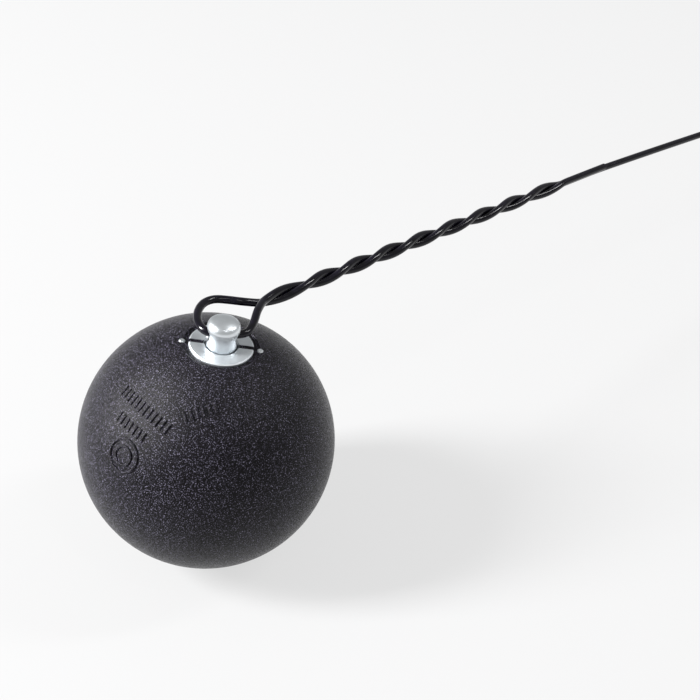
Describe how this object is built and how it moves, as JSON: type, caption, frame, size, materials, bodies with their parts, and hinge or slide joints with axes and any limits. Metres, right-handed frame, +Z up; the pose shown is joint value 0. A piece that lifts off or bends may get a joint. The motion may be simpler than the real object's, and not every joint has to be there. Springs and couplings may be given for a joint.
{
  "type": "throwing hammer",
  "caption": "Throwing hammer: powder-coated ball with a bearing swivel, twisted steel wire and a rigid triangular handle.",
  "frame": {"origin": "middle of the underside of the hammer's box as it lies at rest, on the floor", "axes": "+Z up, +X along the wire on the floor from the ball to the handle"},
  "size_m": [1.146, 0.1262, 0.1039],
  "materials": {
    "powder_coat": "fine textured black powder coat",
    "lead": "dull cast lead",
    "plain_steel": "machined",
    "zinc_plate": "bright zinc plated, turned",
    "bearing_steel": "ground and polished",
    "pressed_steel": "pressed sheet",
    "nylon": "moulded",
    "black_wire": "glossy black coated spring wire",
    "bow_steel": "bright zinc plated rod",
    "grip_aluminium": "fine knurled",
    "bush_aluminium": "turned"
  },
  "bodies": {
    "head": {"head_body": "powder_coat", "ballast_core": "lead", "filler_plug": "plain_steel", "bearing_housing": "powder_coat", "housing_lock_pins": "zinc_plate", "retaining_ring": "zinc_plate", "preload_washer": "plain_steel", "bearing_outer_race": "bearing_steel", "bearing_shields": "pressed_steel"},
    "cage": {"bearing_cage": "pressed_steel", "bearing_balls": "bearing_steel"},
    "swivel": {"swivel_spindle": "zinc_plate", "bearing_inner_race": "bearing_steel", "thrust_washer": "plain_steel", "lock_nut": "zinc_plate", "nut_insert": "nylon"},
    "wire": {"connecting_wire": "black_wire"},
    "handle": {"handle_bow": "bow_steel", "grip_tube": "grip_aluminium", "grip_bushes": "bush_aluminium", "grip_rivets": "plain_steel"}
  },
  "joints": [
    {"name": "swivel_spin", "type": "hinge", "parent": "head", "child": "swivel", "pos_m": [-0.5199, -0.02016, 0.09737], "axis": [0.1099, -0.1432, 0.9836], "continuous": true},
    {"name": "cage_spin", "type": "hinge", "parent": "head", "child": "cage", "pos_m": [-0.52125, -0.0184, 0.08527], "axis": [0.1099, -0.1432, 0.9836], "continuous": true},
    {"name": "wire_swing", "type": "hinge", "parent": "swivel", "child": "wire", "pos_m": [-0.5199, -0.02016, 0.09737], "axis": [0.844, -0.5092, -0.1684], "range_deg": [0, 160]},
    {"name": "handle_swing", "type": "hinge", "parent": "wire", "child": "handle", "pos_m": [0.45697, 0, 0.00835], "axis": [0, 1, 0], "range_deg": [-150, 0]}
  ],
  "couplings": [
    {"joint": "cage_spin", "follows": "swivel_spin", "ratio": 0.3677}
  ]
}
